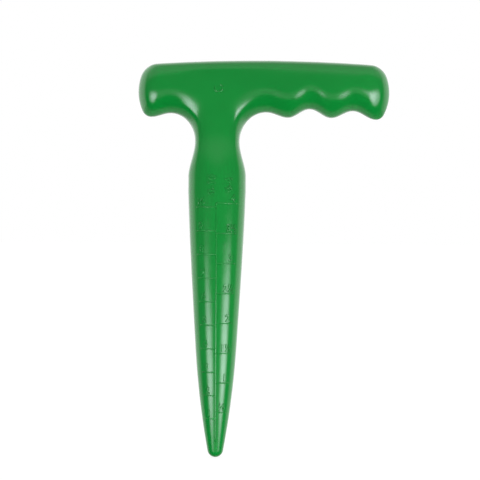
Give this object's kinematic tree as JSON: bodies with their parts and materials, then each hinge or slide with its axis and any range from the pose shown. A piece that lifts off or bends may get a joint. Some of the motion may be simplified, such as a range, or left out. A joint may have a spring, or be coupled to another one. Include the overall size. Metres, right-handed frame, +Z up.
{
  "type": "dibber",
  "caption": "Planting dibber with an offset T-shaped grip, finger grooves under the long arm and a tapered round shaft with a raised depth scale, for pressing seed holes into soil.",
  "frame": {"origin": "lowest point of the planting tip, on the axis of the shaft", "axes": "+Z up the shaft to the grip, +X along the long arm of the grip, -Y to the front, which carries the depth scale"},
  "size_m": [0.1077, 0.0248, 0.1699],
  "materials": {
    "green_plastic": "glossy"
  },
  "bodies": {
    "root": {"front_shell": "green_plastic", "back_shell": "green_plastic"}
  },
  "joints": []
}
